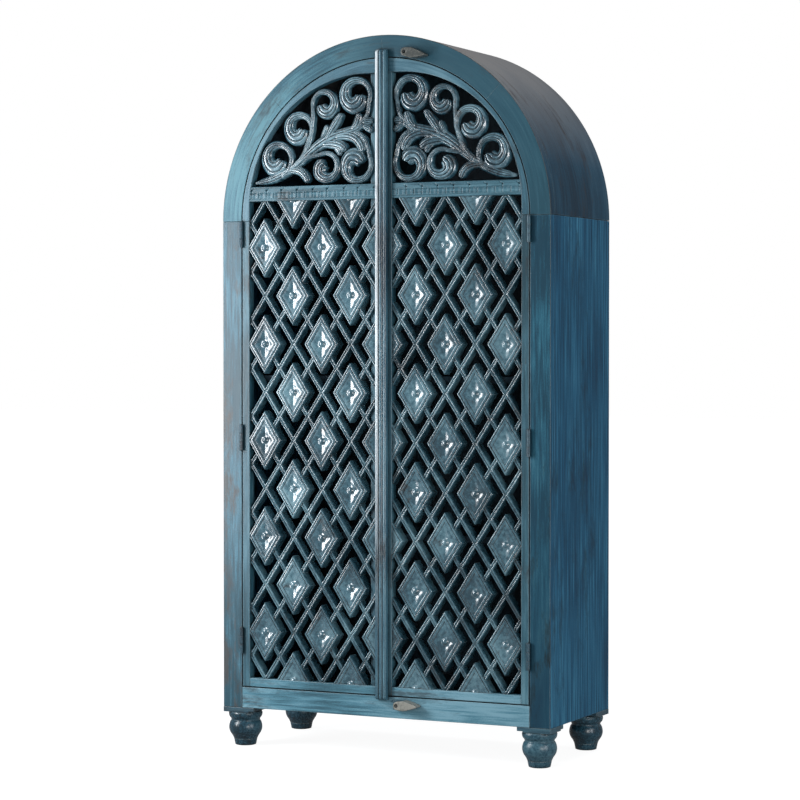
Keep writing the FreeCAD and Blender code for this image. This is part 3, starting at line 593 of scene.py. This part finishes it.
# Each profile: distance in from the edge of a cell or a boss, and depth below the front.
bar_profile = [(0, panel_back), (6.1, panel_back), (6.1, 28), (6.1, 18), (6.1, 9.5), (5.95, 7.4),
               (5.4, 6.0), (4.6, 5.2), (3.6, 5.0), (2.6, 5.2), (1.9, 5.8), (1.3, 6.9), (0.7, 7.4),
               (0, 7.5)]
band_profile = [(0, panel_back), (0, 26), (0, 14), (0, 3.6), (0.4, 2.0), (1.2, 0.9), (2.4, 0.35),
                (4.0, 0.3), (4.9, 0.6), (5.4, 1.8), (5.9, 2.6), (6.5, 2.5), (7.0, 1.4), (7.6, 0.6),
                (8.8, 0.35), (11.6, 0.35), (13.4, 0.4), (14.3, 1.0), (14.7, 2.5)]
bar_steps = (0, 0.2, 0.395, 0.42, 0.58, 0.605, 0.8)
boss_steps = (0, 0.12, 0.24, 0.34, 0.42, 0.46, 0.48, 0.50, 0.52, 0.54, 0.58, 0.66, 0.76, 0.88)
field_shares = (0.65, 0.62, 0.58, 0.54, 0.50, 0.46, 0.42, 0.38, 0.34, 0.31, 0.28, 0.25, 0.22, 0.19,
                0.16, 0.12)
knob_radius, knob_rise = 12.6, 12.3
facet_slope, field_depth, bowl_depth, bowl_start, bowl_width = 0.17, 2.6, 1.9, 12, 6.5
hidden_depth, hand_wave = 20, 0.0003
# The wave of the carver's hand is drawn from this seed, so it is the same in every run.
noise.seed_set(7)


def diamond_row(x, z, wide, high, share, depth, steps):
    """Places round a diamond, share of its full size, at one depth or at depths from a rule."""
    row = []
    corners = [(1, 0), (0, 1), (-1, 0), (0, -1)]
    for i in range(4):
        a, b = corners[i], corners[(i + 1) % 4]
        for t in steps:
            u, v = a[0] + (b[0] - a[0]) * t, a[1] + (b[1] - a[1]) * t
            y = depth(u, v) if callable(depth) else depth
            row.append((x + wide * share * u, y, z + high * share * v))
    return row


def petal(half, middle, reach, along, beside):
    """Depth of one petal, two facets that meet in a line from the knob outwards."""
    return facet_slope * max(half * (1 - ((along - middle) / reach) ** 2) - beside, 0)


def petal_depth(share):
    """Depth of the field of a boss: a shallow bowl round the knob and a petal to each corner."""
    def rule(u, v):
        out, up = abs(boss_w * u * share), abs(boss_h * v * share)
        bowl = bowl_depth * math.exp(-((math.hypot(out, up) - bowl_start) / bowl_width) ** 2)
        return field_depth + max(petal(11, 21, 18, up, out), petal(9, 15, 13, out, up)) + bowl
    return rule


def add_boss(bm, side, x, z):
    """One boss: its bands and field as diamonds inside each other, and its knob as a dome."""
    rows = [diamond_row(x, z, boss_w, boss_h, 1 - e / boss_reach, y, boss_steps)
            for e, y in band_profile]
    rows += [diamond_row(x, z, boss_w, boss_h, share, petal_depth(share), boss_steps)
             for share in field_shares]
    skin_rows(bm, [[at(side * p[0], p[1], p[2]) for p in row] for row in rows], closed=True, caps=True)
    dome = []
    for k in range(9):
        lift = math.radians(-30 + 120 * k / 8)
        radius, y = knob_radius * math.cos(lift), knob_radius - knob_rise * math.sin(lift)
        dome.append([at(side * (x + radius * math.cos(t)), y, z + radius * math.sin(t))
                     for t in (math.tau * j / 24 for j in range(24))])
    skin_rows(bm, dome, closed=True)


def paint_back(piece):
    """Leaves the flat back of a carved panel dull, as sawn and painted thin."""
    piece.data.materials.append(carving_back)
    for face in piece.data.polygons:
        if face.normal.y > 0.9:
            face.material_index = 1


def cut_off(bm, where, normal):
    """Saws the work off at a plane and closes the cut."""
    bmesh.ops.bisect_plane(bm, geom=bm.verts[:] + bm.edges[:] + bm.faces[:], dist=1e-7, plane_co=where,
                           plane_no=normal, clear_outer=True)
    open_edges = [e for e in bm.edges if e.is_boundary]
    bmesh.ops.holes_fill(bm, edges=open_edges, sides=0)


pitch = 2 * half_w
columns = [367.5 - pitch * k for k in range(5)]
for side, side_name in both_sides:
    body = side_name + "_door"
    # The left panel is in two spans, the inner one thin over the lapped strip.
    spans = [(30.2, 414.8, panel_back)]
    if side < 0:
        spans = [(40.7, 414.8, panel_back), (16.7, 40.7, thin_back)]
    work = bmesh.new()
    for low, high, back in spans:
        bars = bmesh.new()
        for level in range(21):
            z = lattice_top - level * half_h
            shift = half_w if level % 2 == 0 else 0
            for x in columns + [columns[-1] - pitch, columns[0] + pitch]:
                if x + shift < low - half_w or x + shift > high + half_w:
                    continue
                rows = [diamond_row(x + shift, z, half_w, half_h, 1 - d / cell_reach, y, bar_steps)
                        for d, y in bar_profile]
                skin_rows(bars, [[at(side * p[0], p[1], p[2]) for p in row] for row in rows], closed=True)
        bmesh.ops.remove_doubles(bars, verts=bars.verts, dist=0.00002)
        bosses = [(x, lattice_top - row * 2 * half_h) for row in range(11) for i, x in enumerate(columns)
                  if (row + i) % 2 and low - boss_w < x < high + boss_w]
        # The bars step back behind the bosses, so that their beads don't show in a field.
        for v in bars.verts:
            for x, z in bosses:
                if abs(v.co.x * side * 1000 - x) / boss_w + abs(v.co.z * 1000 - z) / boss_h < 0.97:
                    v.co.y = max(v.co.y, at(0, hidden_depth, 0).y)
        for x, z in bosses:
            add_boss(bars, side, x, z)
        for v in bars.verts:
            v.co += noise.noise_vector(v.co * 28) * hand_wave
        cut_off(bars, at(side * high, 0, 0), (side, 0, 0))
        cut_off(bars, at(side * low, 0, 0), (-side, 0, 0))
        cut_off(bars, at(0, 0, panel_low), (0, 0, -1))
        cut_off(bars, at(0, 0, panel_high), (0, 0, 1))
        if back < panel_back:
            cut_off(bars, at(0, back, 0), (0, 1, 0))
        part = bpy.data.meshes.new("span")
        bars.to_mesh(part)
        bars.free()
        work.from_mesh(part)
        bpy.data.meshes.remove(part)
    paint_back(place_piece(work, body + "_diamond_lattice", lattice_paint, "carved_wood", body,
                           body + "_lattice", sharp=38))

# ---- Carved scrolls ----
# The arched top of each door is one board pierced with acanthus scrolls: fluted stems that swell,
# roll up into round buds and split into small leaves, carved in high relief.

scroll_paint = painted("scroll paint", (22, 50, 64), (54, 96, 112), (124, 162, 176), grain="none",
                       gloss=0.28, rubbed=0.8, glaze_and_shade_reach=0.010, bump=0.35, streak_size=80.0, edge_size=0.0012)
scroll_coat = scroll_paint.node_tree.nodes["Principled BSDF"].inputs
scroll_coat["Coat Weight"].default_value = 1.0
scroll_coat["Coat Roughness"].default_value = 0.19
scroll_coat["Coat IOR"].default_value = 1.9
# Each stem: places as (out from the middle, above the spring line, width), and face depth at both ends.
stems = [
    ([(401, 106, 6), (372, 110, 20), (338, 119, 26), (290, 140, 24), (249, 168, 26), (208, 200, 34),
      (164, 224, 38), (118, 238, 30), (81, 249, 22), (59, 260, 12)], (7, 4)),
    ([(150, 226, 18), (116, 231, 28), (86, 222, 30), (67, 200, 28), (64, 182, 19)], (4, 1)),
    ([(98, 246, 12), (83, 258, 24), (75, 276, 25), (72, 291, 15)], (4, 1)),
    ([(176, 220, 14), (158, 248, 24), (141, 272, 24), (126, 292, 14)], (4, 2)),
    ([(190, 224, 10), (178, 246, 16), (172, 262, 10)], (5, 3)),
    ([(318, 124, 12), (290, 139, 20), (262, 137, 25), (242, 122, 25), (234, 102, 20)], (6, 3)),
    ([(64, 262, 12), (46, 268, 24), (31, 263, 18)], (5, 5)),
    ([(64, 256, 12), (44, 247, 22), (33, 236, 14)], (5, 5)),
    ([(190, 208, 18), (156, 209, 30), (130, 202, 31), (113, 188, 20)], (5, 2)),
    ([(150, 200, 14), (136, 188, 20), (130, 175, 13)], (6, 3)),
]
# Each volute: its stem's places, its middle, radius, the direction where it starts, and how far it turns.
volutes = [
    ([(84, 254, 13), (64, 268, 13), (48, 288, 13)], (85, 339), 53, 205, -392),
    ([(262, 158, 12), (244, 183, 14), (230, 212, 14), (221, 248, 13), (217, 282, 12)],
     (180, 318), 43, -12, 372),
    ([(288, 138, 10), (268, 156, 13), (245, 185, 13)], (262, 253), 49, 218, -395),
    ([(318, 122, 10), (300, 133, 12)], (330, 171), 52, 214, -385),
    ([(300, 136, 12), (270, 156, 15), (240, 173, 15)], (177, 144), 46, 62, 375),
    ([(124, 240, 16), (88, 238, 17), (61, 222, 15), (47, 197, 14)], (82, 148), 53, 152, 368),
]
# A volute's width along its turn, as a share of its radius.
broad = [(0.0, 0.25), (0.2, 0.33), (0.4, 0.50), (0.58, 0.76), (0.76, 0.96), (0.9, 0.86), (1.0, 0.5)]
volute_steps = 60
for places, middle, radius, start, turn in volutes:
    for k in range(volute_steps + 1):
        s = k / volute_steps
        for (s0, w0), (s1, w1) in zip(broad, broad[1:]):
            if s0 <= s <= s1:
                width = radius * (w0 + (w1 - w0) * (s - s0) / (s1 - s0))
        outer = radius * (1 - 0.38 * max((s - 0.70) / 0.30, 0) ** 1.2)
        reach = outer - width / 2
        angle = math.radians(start + turn * s)
        places.append((middle[0] + reach * math.cos(angle), middle[1] + reach * math.sin(angle), width))
    stems.append((places, (6, 2)))
across = [-1.0, -0.97] + [-0.93 + 0.0465 * k for k in range(41)] + [0.97, 1.0]
flutes, flute_width, flute_depth, scroll_back = (-0.62, -0.16, 0.42), 0.08, 4.6, 22.8


def add_stem(bm, side, places, faces):
    """One carved stem: a rounded, fluted ridge that follows the curve, on straight sawn sides."""
    line, length = smooth_line(places, 3.0)
    rows = []
    count = len(line) - 1
    for i, p in enumerate(line):
        t = i / count
        run = (line[min(i + 1, count)] - line[max(i - 1, 0)]).xy.normalized()
        out = Vector((-run.y, run.x))
        width = p.z
        near = min(t, 1 - t) * length / (width * 0.5)
        round_off = math.sqrt(max(1 - (1 - min(near, 1)) ** 2, 0.0)) if near < 1 else 1.0
        half = max(width * 0.5 * round_off, 0.3)
        face = faces[0] + (faces[1] - faces[0]) * min(t * 1.6, 1) + (1 - round_off) * 5
        swell = min(width * 0.4, 14.0)
        row = [at(side * (p.x - out.x * half), scroll_back, spring_z + p.y - out.y * half)]
        for v in across:
            drop = swell * (1 - math.sqrt(max(1 - abs(v) ** 2.2, 0)))
            flute = sum(math.exp(-((v - c) / flute_width) ** 2) for c in flutes)
            flute *= min(width, 40) / 40 * flute_depth
            row.append(at(side * (p.x + out.x * half * v), min(face + drop + flute, 22),
                          spring_z + p.y + out.y * half * v))
        row.append(at(side * (p.x + out.x * half), scroll_back, spring_z + p.y + out.y * half))
        rows.append(row)
    skin_rows(bm, rows, closed=True, caps=True)


for side, side_name in both_sides:
    body = side_name + "_door"
    bm = bmesh.new()
    for places, faces in stems:
        add_stem(bm, side, places, faces)
    paint_back(place_piece(bm, body + "_scrolls", scroll_paint, "carved_wood", body,
                           body + "_scroll_panel", sharp=50))

# ---- Reeded meeting strip ----
# A hardwood moulding of three reeds, screwed to the right door's meeting stile from behind.
# It covers the gap between the doors and laps over the frame at both ends, where it is cut sloping.

# Painted highlight: the left reed turns near white, and more so higher up the strip.
strip_paint = painted("strip paint", (22, 52, 66), (46, 88, 106), (90, 134, 150), grain="z", gloss=0.2,
                      rubbed=0.7, glaze_and_shade_reach=0.008, under=(34, 50, 58),
                      fade=((236, 246, 250), ("X", -0.0015, -0.006), ("Z", 0.35, 1.15)))
strip_coat = strip_paint.node_tree.nodes["Principled BSDF"].inputs
strip_coat["Coat Weight"].default_value = 0.25
strip_coat["Coat Roughness"].default_value = 0.32
strip_left, strip_right, strip_back, strip_side = -14, 20, -0.5, -11.6
reed_first, reed_pitch, reed_radius, reed_y = -8.4, 11.35, 5.55, -12.4
profile = [(strip_left, strip_back), (strip_left, -6), (strip_left, strip_side)]
for k in range(3):
    middle = reed_first + reed_pitch * k
    for j in range(11):
        turn = math.pi * (1 - j / 10)
        profile.append((middle + reed_radius * math.cos(turn), reed_y + reed_radius * math.sin(-turn)))
profile += [(strip_right, strip_side), (strip_right, -6), (strip_right, strip_back)]
strip_low, strip_high, slope, count = 160.0, 1942.0, 8, 60
rows = []
for k in range(-4, count + 5):
    inside = min(max(k, 0), count)
    z = strip_low + slope + (strip_high - strip_low - 2 * slope) * inside / count
    past = (max(-k, 0) + max(k - count, 0)) / 4
    z += -slope * past if k < 0 else slope * past
    sway = 0.12 * noise.noise(Vector((z * 0.01, 0.3, 5)))
    rows.append([at(max(min(x + sway, strip_right), strip_left),
                    strip_back + (y - strip_back) * (1 - 0.55 * past ** 2), z) for x, y in profile])
bm = bmesh.new()
skin_rows(bm, rows, closed=True, caps=True)
place_piece(bm, "reeded_strip", strip_paint, "door_wood", "right_door", "right_door_meeting_strip",
            sharp=40)

# ---- Turn buttons ----
# Leaf shaped hardwood buttons on small blocks, one on the arch and one on the bottom rail, each
# turning on a single screw to hold the doors shut. The paint is worn off them by hands.

button_wood = painted("worn button wood", (74, 78, 76), (112, 114, 108), (150, 150, 142), grain="none",
                      gloss=0.34, rubbed=0.5, glaze_and_shade_reach=0.005, under=(70, 60, 52), worn_and_highlit_edge=(190, 188, 178))
dress(button_wood, "top_turn_button", "bottom_turn_button")
dress(plate_paint, "top_button_block", "bottom_button_block")

# ---- Floor, light and camera ----
# The cabinet stands on a pale floor in a white studio, lit by a tall soft lamp close on the left, one
# further off and high, two on the right and one overhead. Paint mirrors the white room only faintly.


def white_share(nodes, link, share):
    """How far a ray sees the white room: in full from the camera, by this share in a mirror or glass."""
    path = nodes.new("ShaderNodeLightPath")
    mirrored = nodes.new("ShaderNodeMath")
    mirrored.operation = "MAXIMUM"
    link(path.outputs["Is Glossy Ray"], mirrored.inputs[0])
    link(path.outputs["Is Transmission Ray"], mirrored.inputs[1])
    soft = nodes.new("ShaderNodeMath")
    soft.operation = "MULTIPLY"
    soft.inputs[1].default_value = share
    link(mirrored.outputs[0], soft.inputs[0])
    seen = nodes.new("ShaderNodeMath")
    seen.operation = "MAXIMUM"
    link(path.outputs["Is Camera Ray"], seen.inputs[0])
    link(soft.outputs[0], seen.inputs[1])
    return seen.outputs[0]


floor = bpy.data.materials.new("studio floor")
floor.use_nodes = True
nodes, link = floor.node_tree.nodes, floor.node_tree.links.new
matt = nodes["Principled BSDF"]
matt.inputs["Base Color"].default_value = (0.15, 0.155, 0.16, 1)
matt.inputs["Roughness"].default_value = 0.9
grain = nodes.new("ShaderNodeTexNoise")
grain.inputs["Scale"].default_value = 40
ridge = nodes.new("ShaderNodeBump")
ridge.inputs["Strength"].default_value = 0.02
link(grain.outputs[0], ridge.inputs["Height"])
link(ridge.outputs[0], matt.inputs["Normal"])
glow = nodes.new("ShaderNodeEmission")
spot = nodes.new("ShaderNodeTexCoord")
away = nodes.new("ShaderNodeVectorMath")
away.operation = "LENGTH"
link(spot.outputs["Object"], away.inputs[0])
fade = nodes.new("ShaderNodeMapRange")
for key, value in (("From Min", 0.7), ("From Max", 2.2), ("To Min", 0.93), ("To Max", 1.0)):
    fade.inputs[key].default_value = value
link(away.outputs["Value"], fade.inputs["Value"])
link(fade.outputs[0], glow.inputs["Strength"])
unseen = nodes.new("ShaderNodeEmission")
unseen.inputs["Strength"].default_value = 0.0
pick = nodes.new("ShaderNodeMixShader")
link(white_share(nodes, link, 0.2), pick.inputs[0])
link(unseen.outputs[0], pick.inputs[1])
link(glow.outputs[0], pick.inputs[2])
both = nodes.new("ShaderNodeAddShader")
link(matt.outputs[0], both.inputs[0])
link(pick.outputs[0], both.inputs[1])
link(both.outputs[0], nodes["Material Output"].inputs["Surface"])
mesh = bpy.data.meshes.new("studio_floor")
reach = 30
corners = [(-reach, -reach, 0), (reach, -reach, 0), (reach, reach, 0), (-reach, reach, 0)]
mesh.from_pydata(corners, [], [(0, 1, 2, 3)])
mesh.materials.append(floor)
ground = bpy.data.objects.new("studio_floor", mesh)
bpy.context.scene.collection.objects.link(ground)

world = bpy.data.worlds.new("studio")
bpy.context.scene.world = world
world.use_nodes = True
nodes, link = world.node_tree.nodes, world.node_tree.links.new
room = nodes["Background"]
room.inputs["Color"].default_value = (0.80, 0.88, 1.0, 1)
room.inputs["Strength"].default_value = 0.20
white = nodes.new("ShaderNodeBackground")
white.inputs["Color"].default_value = (1, 1, 1, 1)
white.inputs["Strength"].default_value = 1.0
pick = nodes.new("ShaderNodeMixShader")
link(white_share(nodes, link, 0.15), pick.inputs[0])
link(room.outputs[0], pick.inputs[1])
link(white.outputs[0], pick.inputs[2])
link(pick.outputs[0], nodes["World Output"].inputs["Surface"])


def lamp(name, place, aim, size, power, colour):
    """A soft box that points at a place."""
    light = bpy.data.lights.new(name, "AREA")
    light.shape = "RECTANGLE"
    light.size, light.size_y = size
    light.energy = power
    light.color = colour
    item = bpy.data.objects.new(name, light)
    item.location = place
    item.rotation_euler = (Vector(aim) - Vector(place)).to_track_quat("-Z", "Y").to_euler()
    bpy.context.scene.collection.objects.link(item)


lamp("key", (-1.5, -1.4, 1.15), (-0.2, -0.1, 1.1), (0.4, 1.5), 36, (0.97, 0.98, 1.0))
lamp("upper left", (-3.9, -3.3, 3.2), (0.0, -0.2, 0.9), (1.8, 2.0), 94, (0.97, 0.98, 1.0))
lamp("right", (4.4, -1.9, 1.1), (0.4, 0.0, 0.9), (1.0, 1.8), 56, (0.96, 0.97, 1.0))
lamp("right front", (3.4, -3.9, 0.8), (0.0, 0.0, 0.7), (0.8, 1.2), 60, (1.0, 0.98, 0.96))
lamp("overhead", (0.9, 1.3, 4.2), (0.1, 0.1, 1.7), (1.4, 1.4), 42, (1.0, 0.98, 0.95))

camera = bpy.data.cameras.new("camera")
camera.lens = 114.96
camera.sensor_width = 36
camera.clip_end = 100
eye = bpy.data.objects.new("camera", camera)
eye.location = (3.094, -6.4859, 1.140)
look_down, look_round = 1.28, 25.8
eye.rotation_euler = (math.radians(90 - look_down), 0, math.radians(look_round))
bpy.context.scene.collection.objects.link(eye)
bpy.context.scene.camera = eye
bpy.context.scene.view_settings.view_transform = "Standard"
